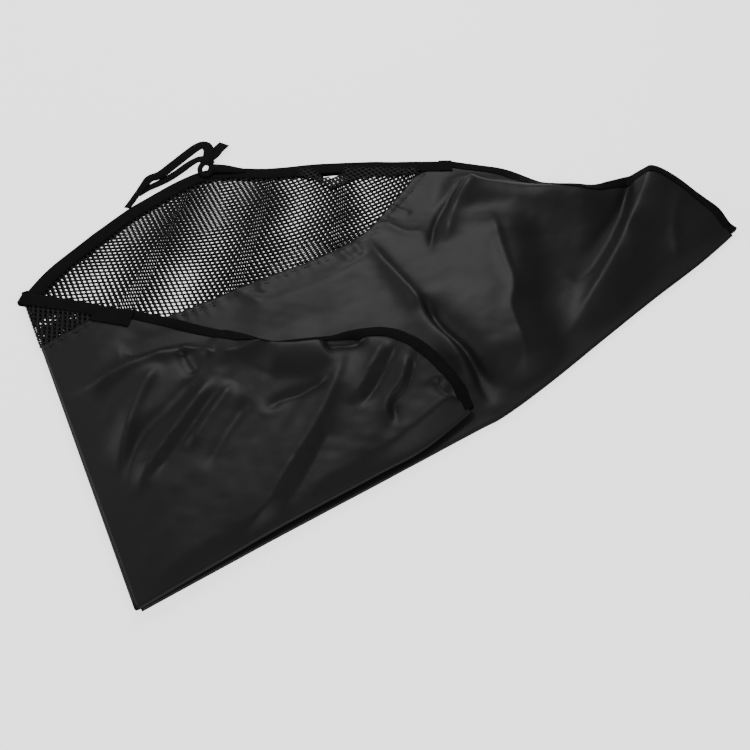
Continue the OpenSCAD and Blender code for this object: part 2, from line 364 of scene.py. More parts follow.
def tape_material(name, rib, wear, dark, light, ribs, roughness):
    """Woven tape: matte, with ribs across it. Its colour is darker in the grooves between the ribs: painted
    shade, mixed with random tone patches.
    """
    material, tree, shader = new_material(name)
    coords = tree.nodes.new("ShaderNodeTexCoord")
    ribbing = place_group(tree, rib, Vector=coords.outputs["UV"], Ribs_per_metre=ribs)
    used = place_group(tree, wear, Vector=coords.outputs["Object"], Patch_size=22.0, Crease_size=300.0)
    # Random tone patches times the rib height: the grooves between ribs get a painted shade.
    patches_and_groove_shade = math_node(tree, "MULTIPLY", used.outputs["Patches"], ribbing.outputs["Height"])
    link(tree, two_tones(tree, patches_and_groove_shade, dark, light), shader.inputs["Base Color"])
    link(tree, ranged(tree, used.outputs["Patches"], roughness - 0.08, roughness + 0.08),
         shader.inputs["Roughness"])
    shader.inputs["Specular IOR Level"].default_value = 0.11
    bumped(tree, [(used.outputs["Creases"], 0.0006, 0.3), (ribbing.outputs["Height"], 0.00025, 0.6)],
           shader)
    return material


# ------------ curves
def curve(points, steps=24):
    """Smooth curve through points, the frame's own kind."""
    p = np.array(points, float)
    last = len(p) - 1
    t = (np.arange(steps) / steps)[:, None]
    rows = []
    for i in range(last):
        a, b, c, d = p[max(0, i - 1)], p[i], p[i + 1], p[min(last, i + 2)]
        rows.append(0.5 * (2 * b + (c - a) * t + (2 * a - 5 * b + 4 * c - d) * t ** 2
                           + (3 * b - a - 3 * c + d) * t ** 3))
    return np.vstack([*rows, p[-1:]])


def distance_along(path):
    """How far along a path each of its points is."""
    return np.concatenate([[0], np.cumsum(np.linalg.norm(np.diff(path, axis=0), axis=1))])


def divide(path, count, start=0.0, end=1.0):
    """count + 1 points spread evenly along a share of a path."""
    run = distance_along(path)
    wanted = run[-1] * np.linspace(start, end, count + 1)
    return np.column_stack([np.interp(wanted, run, path[:, k]) for k in range(path.shape[1])])


def length_of(path):
    return float(np.linalg.norm(np.diff(path, axis=0), axis=1).sum())


def inward(path):
    """Unit normals to the right of a path, which is into the deck on every rim."""
    t = np.gradient(path, axis=0)
    n = np.column_stack([t[:, 1], -t[:, 0]])
    return n / np.linalg.norm(n, axis=1)[:, None]


def smooth(x):
    c = np.clip(x, 0, 1)
    return c * c * (3 - 2 * c)


def past_fold(xy):
    return (xy - np.array(FOLD_TOP, float)) @ FOLD_SIDE


def nearest_on(path, xy):
    """Distance to a path, share of the way along it, and the side: -1 to its left, +1 to its right."""
    run = distance_along(path)
    best = np.full(len(xy), 1e9)
    along = np.zeros(len(xy))
    side = np.ones(len(xy))
    for i in range(len(path) - 1):
        a, b = path[i], path[i + 1]
        ab = b - a
        span = max(float(ab @ ab), 1e-9)
        t = np.clip(((xy - a) @ ab) / span, 0, 1)
        off = xy - a - t[:, None] * ab
        d = np.hypot(off[:, 0], off[:, 1])
        closer = d < best
        best[closer] = d[closer]
        along[closer] = (run[i] + t[closer] * (run[i + 1] - run[i])) / run[-1]
        turn = ab[0] * off[:, 1] - ab[1] * off[:, 0]
        side[closer] = np.where(turn[closer] > 0, -1, 1)
    return best, along, side


# ------------ the drape
def fold_ridge(xy, points, height, left, right, lead=0.2, tail=0.25):
    """A ridge (or with a negative height a valley) along points, with its own width on either side."""
    path = curve(points, 5) if len(points) > 2 else np.array(points, float)
    d, along, side = nearest_on(path, xy)
    width = np.where(side < 0, left, right)
    taper = smooth(along / lead) * smooth((1 - along) / tail)
    crisp = np.exp(-(np.sqrt(d ** 2 + 9) - 3) / (0.8 * width))
    return height * taper * np.where(width < SHARP_WIDTH, crisp, np.exp(-(d / width) ** 2))


def swell(xy, centre, along, across, degrees, height):
    """A round or oval swelling."""
    turn = math.radians(degrees)
    d = xy - np.array(centre, float)
    u = (d[:, 0] * math.cos(turn) + d[:, 1] * math.sin(turn)) / along
    v = (-d[:, 0] * math.sin(turn) + d[:, 1] * math.cos(turn)) / across
    return height * np.exp(-(u ** 2 + v ** 2))


def ripples(xy, seed, shortest, longest, count, direction=None, spread=180.0):
    """Smooth uneven ripples of about unit height, from a few plane waves."""
    rng = np.random.default_rng(seed)
    total = np.zeros(len(xy))
    for _ in range(count):
        wave = rng.uniform(shortest, longest)
        centre = 0.0 if direction is None else direction
        angle = math.radians(centre + rng.uniform(-spread, spread) / 2)
        phase = rng.uniform(0, 2 * math.pi)
        k = 2 * math.pi / wave
        total += np.sin(k * (xy[:, 0] * math.cos(angle) + xy[:, 1] * math.sin(angle)) + phase)
    return total / math.sqrt(count)


# Ridges of the folded deck: points, height, width to the left and to the right of their run.
DECK_RIDGES = [
    ([(-30, 150), (-12, 105), (23, 45), (50, -7), (80, -63), (103, -109)], 9, 8, 15),
    ([(140, 200), (144, 130), (144, 72), (135, 30), (149, -39), (158, -95)], 17, 34, 105),
    ([(124, 187), (132, 118), (142, 49), (135, 15), (144, -36), (146, -84)], 4, 6, 9),
    ([(120, 262), (88, 205), (74, 165), (66, 118)], 8, 13, 8),
    ([(60, 238), (97, 227), (141, 219), (191, 213), (235, 211), (285, 210)], 8, 23, 30),
    ([(60, 238), (97, 227), (141, 219), (191, 213), (235, 211), (300, 210)], 14, 23, 62),
    ([(360, 330), (332, 240), (305, 178), (271, 110), (228, 36), (197, -18)], 15, 38, 12),
    ([(320, 243), (302, 187), (285, 134)], 3, 8, 8),
    ([(372, 222), (353, 161), (350, 97)], 3, 14, 10),
    ([(-20, 115), (-55, 80), (-140, 35), (-185, 5)], 4, 26, 18),
    ([(-186, 62), (-160, 44), (-150, 30)], 3, 7, 9),
    ([(-152, 74), (-150, 50)], 3, 6, 6),
    ([(-62, 122), (-44, 98)], 3, 6, 6),
    ([(-44, 136), (-34, 108)], 3, 5, 6),
    ([(-12, 178), (18, 150), (50, 146)], 3.5, 7, 8),
    ([(-2, 200), (30, 186)], 2.5, 6, 6),
    ([(100, -118), (128, -104), (150, -92)], 4, 7, 7),
]
DECK_VALLEYS = [
    ([(34, 40), (53, 0), (77, -29), (94, -63), (109, -112)], -16, 15, 8),
    ([(316, 256), (296, 196), (268, 146), (236, 96), (214, 66)], -14, 7, 8),
    ([(106, 253), (72, 198), (57, 161), (48, 108)], -7, 5, 4),
]
FLAP_RIDGES = [
    ([(-372, -110), (-355, -103), (-314, -85), (-284, -62), (-253, -44), (-216, -34)], 8, 12, 10),
    ([(-235, -36), (-212, -38), (-192, -44)], 4, 5, 6),
    ([(-212, -46), (-150, -40), (-85, -32), (-43, -29)], 7, 14, 12),
    ([(-251, -53), (-266, -97), (-273, -144), (-275, -200)], 7, 9, 18),
    ([(-191, -72), (-220, -132), (-244, -184), (-253, -222)], 5.5, 12, 9),
    ([(-167, -80), (-192, -125), (-209, -170)], 4.5, 8, 9),
    ([(-45, -35), (-53, -59), (-73, -123), (-103, -184), (-130, -240), (-160, -275)], 7, 12, 21),
    ([(-7, -31), (-26, -76), (-45, -117)], 5, 10, 12),
    ([(17, -55), (9, -89), (-6, -117), (-3, -144)], 4, 5, 7),
    ([(52, -80), (62, -96), (84, -100)], 2.5, 6, 6),
]
FLAP_VALLEYS = [
    ([(-300, -44), (-285, -38), (-255, -26), (-225, -15), (-180, -6)], -15, 11, 9),
    ([(-231, -38), (-222, -57), (-211, -71)], -7, 4, 5),
    ([(-208, -66), (-233, -109), (-255, -140), (-264, -177), (-262, -212)], -7, 7, 6),
    ([(-180, -80), (-202, -125), (-225, -170), (-245, -205)], -4, 7, 7),
    ([(-151, -101), (-173, -151), (-188, -192)], -4.5, 8, 8),
    ([(-58, -125), (-87, -195), (-112, -240)], -3, 12, 7),
    ([(-64, -78), (-95, -97), (-121, -107), (-133, -125)], -5, 6, 7),
    ([(-28, -24), (-50, -39), (-74, -55)], -9, 6, 6),
    ([(10, -30), (-12, -80), (-35, -121)], -5, 6, 7),
    ([(28, -44), (19, -89), (2, -115), (8, -144)], -4.5, 5, 5),
    ([(46, -85), (55, -103), (80, -109)], -4, 5, 6),
]


def deck_relief(xy):
    """How far the upper layer of the deck stands over its flat lie."""
    rise = swell(xy, (-20, 20), 170, 120, 30, 5) + swell(xy, (95, 0), 80, 110, 0, 6)
    rise = rise + swell(xy, (345, 228), 120, 48, -30, 20)
    for points, height, left, right in DECK_RIDGES + DECK_VALLEYS:
        rise = rise + fold_ridge(xy, points, height, left, right)
    rise = rise + 0.45 * ripples(xy, 11, 38, 80, 14) + 0.1 * ripples(xy, 12, 14, 26, 14)
    edge = nearest_on(curve(LOWER_EDGE, 6), xy)[0]
    settle = smooth(past_fold(xy) / 75) * smooth(edge / 34)
    return settle * (0.5 * (rise + np.sqrt(rise ** 2 + 6)) - 0.8)


def flap_relief(xy):
    """How far the turned-over end stands over its flat lie: over the deck, with folds of its own."""
    rise = 3.5 + swell(xy, (-40, -70), 130, 90, 35, 3) + swell(xy, (30, -40), 45, 45, 0, 5)
    rise = rise + swell(xy, (80, -120), 90, 90, 35, 13)
    for points, height, left, right in FLAP_RIDGES + FLAP_VALLEYS:
        rise = rise + fold_ridge(xy, points, height, left, right)
    rise = rise + 0.5 * ripples(xy, 21, 22, 70, 14, 150, 36) + 0.1 * ripples(xy, 22, 14, 26, 14)
    edge = nearest_on(curve(FLAP_LOWER_EDGE, 6), xy)[0]
    settle = smooth(past_fold(xy) / 60) * smooth(edge / 26 + 0.1)
    return deck_relief(xy) + settle * (0.5 * (rise + np.sqrt(rise ** 2 + 6)) - 0.8)


def lower_relief(xy):
    """The lowest layer lies on the floor, with slight unevenness."""
    return 0.3 * (1 + np.tanh(ripples(xy, 31, 60, 120, 10))) * smooth(past_fold(xy) / 60)


def layer_height(xy, layer):
    """Height of the underside of a layer's tape."""
    relief = lower_relief(xy) if layer == 0 else deck_relief(xy) if layer == 1 else flap_relief(xy)
    return layer * LAYER_PITCH + relief


# ------------ mesh building
def mesh_piece(name, vertices, faces, finish, body, replaces=(), uv=None, smooth_faces=True):
    """A piece from millimetre vertices. finish: its material, and a slot name that is not used. uv: (u, v) in
    metres for each vertex."""
    material, slot = finish
    mesh = bpy.data.meshes.new(name)
    mesh.from_pydata((np.asarray(vertices, float) * MM).tolist(), [], faces)
    mesh.materials.append(material)
    if smooth_faces:
        mesh.polygons.foreach_set("use_smooth", [True] * len(mesh.polygons))
    if uv is not None:
        layer = mesh.uv_layers.new(name="TapeUV")
        corners = np.zeros(len(mesh.loops), np.int32)
        mesh.loops.foreach_get("vertex_index", corners)
        layer.data.foreach_set("uv", np.asarray(uv, np.float32)[corners].ravel())
    mesh.update()
    piece = new_object(name, mesh)
    if replaces:
        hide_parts(*replaces)
    if body:
        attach(piece, body)
    if body == "turned_end":
        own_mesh(piece)
    return piece


def grid_faces(rows, columns):
    """Quads of a grid whose vertices run column by column, each from its first row to its last."""
    return [(j * rows + i, (j + 1) * rows + i, (j + 1) * rows + i + 1, j * rows + i + 1)
            for j in range(columns - 1) for i in range(rows - 1)]


def thicken(piece, thick):
    solid = piece.modifiers.new("thickness", "SOLIDIFY")
    solid.thickness = thick * MM
    solid.offset = 0.0


def tube_faces(ring, rings):
    """Faces of a closed tube with end caps, its rings one after another."""
    faces = [(j * ring + i, j * ring + (i + 1) % ring, (j + 1) * ring + (i + 1) % ring, (j + 1) * ring + i)
             for j in range(rings - 1) for i in range(ring)]
    first = tuple(reversed(range(ring)))
    final = tuple(range((rings - 1) * ring, rings * ring))
    return faces + [first, final]


class Rim:
    """An open edge of a layer: its path, its inward normals, and where the cloth rolls over it."""

    def __init__(self, points, layer, start=0.0, end=1.0, spacing=4.0, rolls=(), shift=0.0):
        path = curve(points)
        count = max(4, int(length_of(path) * (end - start) / spacing))
        self.path = divide(path, count, start, end)
        self.share = np.linspace(start, end, count + 1)
        self.normals = inward(self.path)
        self.path = self.path - self.normals * shift * np.sin(math.pi * self.share)[:, None]
        self.layer = layer
        self.rolls = rolls

    def at(self, index, u, z):
        """Points u inside the rim and z over the layer, at path positions index."""
        index = np.asarray(index)
        xy = self.path[index] + self.normals[index] * np.asarray(u)[:, None]
        height = layer_height(xy, self.layer) + z
        out, up = rolled(self.rolls, self.share[index], u)
        xy = xy - self.normals[index] * out[:, None]
        return np.column_stack([xy, height + up])


def rolled(rolls, share, u):
    """Outward and upward move of the cloth where it rolls over its rim. rolls: centre, half width, size."""
    out = np.zeros(len(share))
    up = np.zeros(len(share))
    for centre, half, size in rolls:
        there = smooth(1.4 - np.abs(share - centre) / half)
        out += there * size * np.exp(-((u - 21) / 11) ** 2)
        up += there * size * 0.75 * np.exp(-((u - 23) / 15) ** 2)
    return out, up


def swept(name, rim, profile, finish, body, replaces, uneven=0.0, smooth_faces=True):
    """A tube along a rim. profile: (distance inside the rim, height) rows."""
    ring, count = len(profile), len(rim.path)
    index = np.repeat(np.arange(count), ring)
    u = np.tile(profile[:, 0], count)
    z = np.tile(profile[:, 1], count)
    if uneven:
        z = z + uneven * (u / profile[:, 0].max()) * ripples(rim.path[index], 41, 12, 22, 8)
    uv = np.column_stack([distance_along(rim.path)[index] * MM, u * MM])
    return mesh_piece(name, rim.at(index, u, z), tube_faces(ring, count), finish, body, replaces, uv,
                      smooth_faces)


def tape_over_edge(name, rim, width, finish, body, replaces, uneven=0.0):
    """A tape folded over the cloth's edge, with soft round edges and its two plies."""
    t, ply = TAPE_T, 0.65
    profile = np.array([
        (width, t - 0.35), (width - 0.5, t), (width * 0.6, t + 0.12), (1.6, t), (0.5, t - 0.45), (0.0, t / 2),
        (0.5, 0.45), (1.6, 0.0), (width * 0.6, 0.0), (width - 0.5, 0.0), (width, 0.35),
        (width - 0.2, ply), (2.0, ply), (1.5, t / 2), (2.0, t - ply), (width - 0.2, t - ply)])
    return swept(name, rim, profile, finish, body, replaces, uneven)


def strip_in_rim(name, rim, low, high, z, thick, finish, body, replaces):
    """A flat strip that runs inside a rim, such as its elastic."""
    profile = np.array([(low, z), (low, z + thick), (high, z + thick), (high, z)])
    return swept(name, rim, profile, finish, body, replaces, smooth_faces=False)


def stitch_row(rim, inset, lift, pitch=3.4):
    """Stitches along a rim: short round-ended thread humps. Gives vertices and faces."""
    long, half = 2.3, 0.32
    path = rim.path + rim.normals * inset
    total = length_of(path)
    count = int(total / pitch)
    share = np.linspace(0.004, 0.996, count)
    run = distance_along(path) / total
    place = np.interp(share, run, np.arange(len(path)))
    low = np.clip(place.astype(int), 0, len(path) - 2)
    part = (place - low)[:, None]
    surface = rim.at(np.arange(len(path)), np.full(len(path), float(inset)), lift)
    centre = surface[low] * (1 - part) + surface[low + 1] * part
    heading = surface[low + 1] - surface[low]
    heading = heading / np.linalg.norm(heading, axis=1)[:, None]
    side = np.cross(heading, (0, 0, 1))
    side = side / np.linalg.norm(side, axis=1)[:, None]
    over = np.cross(side, heading)
    vertices, faces = [], []
    stations = [(-0.5, 0.35), (-0.25, 1.0), (0.25, 1.0), (0.5, 0.35)]
    around = [(math.cos(a), math.sin(a)) for a in np.linspace(0, 2 * math.pi, 6, endpoint=False)]
    for c, h, s, o in zip(centre, heading, side, over):
        first = len(vertices)
        for shift, fat in stations:
            for x, y in around:
                vertices.append(c + h * shift * long + (s * x + o * y * 0.8) * half * fat)
        faces += [tuple(first + k for k in face) for face in tube_faces(6, len(stations))]
    return vertices, faces


def stitches(name, rows, finish, body):
    """All the stitching of one body that lies on tapes or hems."""
    vertices, faces = [], []
    for rim, inset, lift in rows:
        more, loops = stitch_row(rim, inset, lift)
        faces += [tuple(k + len(vertices) for k in loop) for loop in loops]
        vertices += more
    return mesh_piece(name, np.array(vertices), faces, finish, body)


# ------------ cloth
def seam_puckers(xy, seam, strength):
    """Small gathers that run into the cloth from a sewn seam."""
    d, along, side = nearest_on(seam, xy)
    total = length_of(seam)
    gather = np.sin(along * total / 2.1 + 1.3 * np.sin(along * total / 9.0))
    uneven = 0.55 + 0.45 * np.sin(along * total / 23.0 + 0.7)
    return strength * uneven * gather * np.exp(-(d / 15) ** 2) + 0.7 * smooth((10 - d) / 3)


def cloth_edge(parts, spacing):
    """One even run of columns along joined stretches of edge. parts: path, cover of the tape on it,
    start, end. Gives the tape's outer edge, the cloth's own edge, normals and the share of the rim."""
    rows = []
    for points, width, start, end in parts:
        count = max(3, int(length_of(points) * (end - start) / spacing))
        path = divide(points, count, start, end)
        normals = inward(path)
        own = path + normals * max(width - 6.0, 0.0)
        share = np.linspace(start, end, count + 1) if width == BINDING_W else np.full(count + 1, -1.0)
        rows.append(np.column_stack([path, own, normals, share]))
    table = np.vstack(rows)
    kept = [table[0]]
    for row in table[1:]:
        heading = np.array([row[5] * -1, row[4]])
        if (row[2:4] - kept[-1][2:4]) @ heading > 0.35 * spacing:
            kept.append(row)
    table = np.array(kept)
    run = distance_along(table[:, 2:4])
    even = np.linspace(0, run[-1], int(run[-1] / spacing))
    table = np.column_stack([np.interp(even, run, table[:, k]) for k in range(7)])
    for _ in range(3):
        table[1:-1, :6] = 0.25 * table[:-2, :6] + 0.5 * table[1:-1, :6] + 0.25 * table[2:, :6]
    table[:, 4:6] /= np.linalg.norm(table[:, 4:6], axis=1)[:, None]
    return table[:, 0:2], table[:, 2:4], table[:, 4:6], table[:, 6]


def folded_cloth(name, upper_layer, lower_layer, seam, in_band, rim_points, low_points, pucker, finish,
                 body, replaces, spacing, rolls=()):
    """Cloth folded at its lower edge: the upper layer from rim to fold, the fold, and the lower layer."""
    seam_path = curve(seam)
    path, top, normals, share = cloth_edge(
        [(seam_path, 0.0, 0.006, 0.99), in_band, (curve(rim_points), BINDING_W, 0.012, 0.975)], spacing)
    columns = len(path)
    low = divide(curve(low_points), columns - 1, 0.005, 0.985)
    upper_rows = int(max(np.linalg.norm(top - low, axis=1)) / spacing)
    lower_rows = upper_rows // 3

    loose = LOWER_SHIFT * np.sin(math.pi * np.clip(share, 0, 1)) if lower_layer == 0 else share * 0

    def place(t, layer):
        edge = top if layer == upper_layer else top - normals * loose[:, None]
        xy = (low[:, None, :] + (edge - low)[:, None, :] * t[None, :, None]).reshape(-1, 2)
        z = layer_height(xy, layer) + CLOTH_Z
        if layer == upper_layer:
            z = z + pucker * seam_puckers(xy, seam_path, 0.8)
            u = np.linalg.norm(np.repeat(path, len(t), axis=0) - xy, axis=1)
            out, up = rolled(rolls, np.repeat(share, len(t)), u)
            xy = xy - np.repeat(normals, len(t), axis=0) * out[:, None]
            z = z + up
        return np.column_stack([xy, z]).reshape(columns, len(t), 3)

    upper = place(np.linspace(1, 0, upper_rows), upper_layer)
    lower = place(np.linspace(0, 1, lower_rows), lower_layer)
    to_cloth = -inward(low)
    turn = []
    for angle in np.radians([45, 0, -45]):
        xy = low - to_cloth * 2.2 * math.cos(angle)
        middle = (upper[:, -1, 2] + lower[:, 0, 2]) / 2
        half = (upper[:, -1, 2] - lower[:, 0, 2]) / 2
        turn.append(np.column_stack([xy, middle + half * math.sin(angle)]))
    turn = np.stack(turn, axis=1)
    all_rows = np.concatenate([upper, turn, lower], axis=1)
    rows = all_rows.shape[1]
    piece = mesh_piece(name, all_rows.reshape(-1, 3), grid_faces(rows, columns), finish, body,
                       replaces)
    thicken(piece, CLOTH_T)
    return piece


def blend_round_fold(piece):
    """Bakes a piece's transform into its mesh. The piece is already built round the end's fold, so nothing
    bends here.
    """
    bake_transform(piece)


def fold_strip(name, radius, start, end, reach, finish):
    """Cloth that rolls round the fold of the turned-over end, from the deck's layer to the end's."""
    along = np.linspace(start, end, max(3, int((end - start) / 6)))
    arc = [(reach, -radius)] + [(-0.15 * radius * math.cos(a), radius * math.sin(a))
                                for a in np.linspace(-math.pi / 2, math.pi / 2, 9)] + [(reach, radius)]
    vertices = [np.array([*(np.array(FOLD_TOP) + FOLD_DIR * s + FOLD_SIDE * x), HINGE_Z + z])
                for s in along for x, z in arc]
    piece = mesh_piece(name, np.array(vertices), grid_faces(len(arc), len(along)), finish, None)
    thicken(piece, CLOTH_T)
    blend_round_fold(piece)
    return piece


# ------------ netting
PITCH = 6.0
STRAND = 0.37


def inside(polygon, xy):
    """Which points lie inside a polygon."""
    x, y = xy[:, 0], xy[:, 1]
    result = np.zeros(len(xy), bool)
    for (x1, y1), (x2, y2) in zip(polygon, np.roll(polygon, -1, axis=0)):
        crosses = (y1 > y) != (y2 > y)
        with np.errstate(divide="ignore", invalid="ignore"):
            at = (x2 - x1) * (y - y1) / (y2 - y1) + x1
        result ^= crosses & (x < at)
    return result


def net_cells(lattice, first, last, keep, strand=STRAND):
    """Square holes with rounded corners between crossing strands. lattice maps (i, j) to the sheet's
    own x, y. Gives sheet points, their height over the middle of the strands, and faces."""
    index, points, lifts, faces = {}, [], [], []
    hole = (1 - strand) / 2
    ring = [(-1, -1), (0, -1), (1, -1), (1, 0), (1, 1), (0, 1), (-1, 1), (-1, 0)]

    def vertex(key, i, j, lift):
        if key not in index:
            index[key] = len(points)
            points.append((i, j))
            lifts.append(lift)
        return index[key]

    edges = {}
    for i in range(first[0], last[0]):
        for j in range(first[1], last[1]):
            if not keep[i - first[0], j - first[1]]:
                continue
            top, bottom, inner = [], [], []
            for a, b in ring:
                knot = 1.0 if a and b else 0.72
                x, y = 2 * i + 1 + a, 2 * j + 1 + b
                top.append(vertex(("t", x, y), x / 2, y / 2, knot))
                bottom.append(vertex(("b", x, y), x / 2, y / 2, -knot))
                reach = hole * (0.86 if a and b else 1.0)
                inner.append(vertex(("h", i, j, a, b), i + 0.5 + a * reach, j + 0.5 + b * reach, 0.0))
            for k in range(8):
                n = (k + 1) % 8
                faces.append((top[k], top[n], inner[n], inner[k]))
                faces.append((bottom[n], bottom[k], inner[k], inner[n]))
                pair = frozenset((top[k], top[n]))
                if pair in edges:
                    edges[pair] = None
                else:
                    edges[pair] = (top[n], top[k], bottom[k], bottom[n])
    faces += [face for face in edges.values() if face]
    return lattice(np.array(points, float)), np.array(lifts), faces


def draped_lattice(origin, turn, slope_left, slope_right, lean=-64.0, stretch=1.0):
    """Rows that bend from one slope to another across the deck, and straight leaning columns."""
    steps = np.arange(-20, 130, 0.25)
    step = 0.25 * PITCH * stretch
    x = origin[0]
    base = []
    for _ in steps:
        slope = math.radians(slope_left + (slope_right - slope_left) * float(smooth((x + 270) / 260)) + turn)
        base.append((x, 0.0 if not base else base[-1][1] + step * math.sin(slope)))
        x += step * math.cos(slope)
    base = np.array(base)
    base[:, 1] += origin[1]
    lean = math.radians(lean + turn)
    column = -PITCH * np.array([math.cos(lean), math.sin(lean)])

    def lattice(ij):
        row = np.column_stack([np.interp(ij[:, 0], steps, base[:, k]) for k in (0, 1)])
        return row + ij[:, 1:2] * column

    return lattice


def netting(name, polygon, lattice, layer, thick, finish, replaces, gap=None, lift=0.0, strand=STRAND):
    """A sheet of netting cut to polygon. gap is where its cut edge hangs away from the band."""
    first, last = (-18, -70), (120, 70)
    ii, jj = np.meshgrid(np.arange(first[0], last[0]), np.arange(first[1], last[1]), indexing="ij")
    centres = lattice(np.column_stack([ii.ravel() + 0.5, jj.ravel() + 0.5]))
    keep = inside(np.asarray(polygon), centres)
    if gap is not None:
        keep &= ~inside(np.asarray(gap), centres)
    xy, rise, faces = net_cells(lattice, first, last, keep.reshape(ii.shape), strand)
    z = layer_height(xy, layer) + CLOTH_Z + lift + rise * thick / 2
    body = "deck" if layer < 2 else "turned_end"
    return mesh_piece(name, np.column_stack([xy, z]), faces, finish, body, replaces)


def fold_netting(name, radius, start, end, finish):
    """Netting that rolls round the fold of the turned-over end."""
    half_turn = math.pi * radius + 6
    rows = int((end - start) / PITCH)
    columns = max(2, round(half_turn / PITCH))

    def lattice(ij):
        return np.column_stack([start + ij[:, 1] * (end - start) / rows, ij[:, 0] / columns])

    keep = np.ones((columns, rows), bool)
    sheet, lift, faces = net_cells(lattice, (0, 0), (columns, rows), keep)
    share = sheet[:, 1]
    straight = 3.0 / half_turn
    angle = (np.clip((share - straight) / (1 - 2 * straight), 0, 1) - 0.5) * math.pi
    beyond = np.maximum(straight - share, 0) + np.maximum(share - (1 - straight), 0)
    r = radius + lift * 0.4
    x = -0.45 * r * np.cos(angle) + beyond * half_turn
    z = r * np.sin(angle)
    xy = np.array(FOLD_TOP) + FOLD_DIR * sheet[:, :1] + FOLD_SIDE * x[:, None]
    piece = mesh_piece(name, np.column_stack([xy, HINGE_Z + z]), faces, finish, None)
    blend_round_fold(piece)
    return piece


def net_outline(rim, seam, rim_end, under_tape=7.0, under_hem=8.0):
    """The netting's cut: up under the band, and down under the hem of the cloth."""
    top = divide(curve(rim), 60, 0.0, rim_end)
    low = divide(curve(seam), 60, 0.0, 1.0)
    top = top + inward(top) * under_tape
    low = low + inward(low) * under_hem
    start = np.array([top[0], low[0]])
    move = (2.0 - past_fold(start))[:, None] * FOLD_SIDE
    top[0], low[0] = start[0] + move[0], start[1] + move[1]
    return np.vstack([top, low[::-1]])


# ------------ ends, tie and small pieces
def flat_strap(name, points, z, width, finish, body, replaces, thick=1.1):
    """A length of flat tape with soft edges, its heights and widths given along it. Without a body it is left
    unparented, with its transform baked into its mesh."""
    path = divide(curve(points), max(8, int(length_of(curve(points)) / 2.5)))
    count = len(path)
    sides = inward(path)
    share = np.linspace(0, 1, count)
    t = thick / 2
    widths = np.interp(share, np.linspace(0, 1, len(width)), width)
    heights = np.interp(share, np.linspace(0, 1, len(z)), z)
    vertices, uv = [], []
    run = distance_along(path)
    for k in range(count):
        w = widths[k] / 2
        profile = [(w, 0), (w - 0.4, t), (0, t * 1.15), (-w + 0.4, t),
                   (-w, 0), (-w + 0.4, -t), (0, -t), (w - 0.4, -t)]
        for across, up in profile:
            vertices.append((*(path[k] + sides[k] * across), heights[k] + up))
            uv.append((run[k] * MM, across * MM))
    piece = mesh_piece(name, np.array(vertices), tube_faces(8, count), finish, body, replaces, uv)
    if body is None:
        middle = np.array(TIE_LOOP["pos_m"])
        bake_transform(piece)
    return piece


def make_finishes():
    """Every finish: a material and the slot that it stands for."""
    weave, wear, rib = weave_group(), wear_group(), rib_group()
    cloth = coated_cloth_material(weave, wear)
    net = yarn_material("coated_netting", wear, 30.0, 900.0, (0.003, 0.007), 0.25, (0.42, 0.6), 0.0003)
    webbing = tape_material("webbing", rib, wear, *TAPE_TONES, 620.0, 0.76)
    binding = tape_material("binding_tape", rib, wear, *TAPE_TONES, 900.0, 0.74)
    tie = tape_material("tie_tape", rib, wear, *TAPE_TONES, 1000.0, 0.76)
    elastic = tape_material("elastic", rib, wear, (0.02, 0.02, 0.02), (0.06, 0.06, 0.06), 1400.0, 0.7)
    thread = yarn_material("sewing_thread", wear, 120.0, 2500.0, (0.004, 0.009), 0.2, (0.35, 0.5), 0.0002)
    return {"cloth": (cloth, "deck_cloth"), "net": (net, "netting"), "webbing": (webbing, "webbing"),
            "binding": (binding, "binding"), "tie": (tie, "tie_tape"), "elastic": (elastic, "elastic"),
            "thread": (thread, "binding")}


def make_cloth(cloth, webbing):
    """Cloth of the deck and of the turned-over end, and the strips round the end's fold."""
    deck = folded_cloth("deck_cloth", 1, 0, SEAM_LINE, (curve(MESH_RIM), BAND_W, 0.955, 0.99), CLOTH_RIM,
                        LOWER_EDGE, 1.0, cloth, "deck", ("back_panel_upper", "back_panel_lower"), 3.3)
    end = folded_cloth("end_cloth", 3, 2, FLAP_SEAM_LINE, (curve(FLAP_MESH_RIM), BAND_W, 0.70, 0.97),
                       FLAP_CLOTH_RIM, FLAP_LOWER_EDGE, 0.6, cloth, "turned_end",
                       ("flap_panel_outer", "flap_panel_inner"), 2.7, END_ROLLS)
    outer_fold = fold_strip("fold_cloth_outer", OUTER_FOLD, SEAM_AT, FOLD_SPAN - 2, 5, cloth)
    inner_fold = fold_strip("fold_cloth_inner", INNER_FOLD, SEAM_AT, FOLD_SPAN - 6, 5, cloth)
    fold_strip("fold_band_outer", 5.3, 0.5, 24, 7, webbing)


def make_netting(net):
    """Netting, two layers in the deck and two in the turned-over end."""
    outline = net_outline(MESH_RIM, SEAM_LINE, 0.955)
    end_outline = net_outline(FLAP_MESH_RIM, FLAP_SEAM_LINE, 0.75, 6, 6)
    upper = netting("netting_upper", outline, draped_lattice((-545, 82), 0, 5, 32), 1, 1.3, net,
                    ("back_mesh_upper",), gap=NET_GAP)
    lower = netting("netting_lower", outline, draped_lattice((-545, 83.8), 0, 5, 32, -62, 1.06), 0, 1.3,
                    net, ("back_mesh_lower",), gap=NET_GAP)
    end_outer = netting("end_netting_outer", end_outline, draped_lattice((-545, 104), -14, 5, 5, -66), 3,
                        1.3, net, ("flap_mesh_outer",), strand=0.6)
    end_inner = netting("end_netting_inner", end_outline, draped_lattice((-542, 88), -6, 5, 5, -62), 2,
                        1.3, net, ("flap_mesh_inner",), strand=0.6)
    pleat = netting("netting_pleat", NET_PLEAT, draped_lattice((-542, 68), 9, 6, 20, -58), 1, 1.2, net,
                    (), lift=1.5, strand=0.62)
    fold_outer = fold_netting("fold_netting_outer", OUTER_FOLD, NET_AT_FOLD, SEAM_AT, net)
    fold_inner = fold_netting("fold_netting_inner", INNER_FOLD, NET_AT_FOLD, SEAM_AT, net)


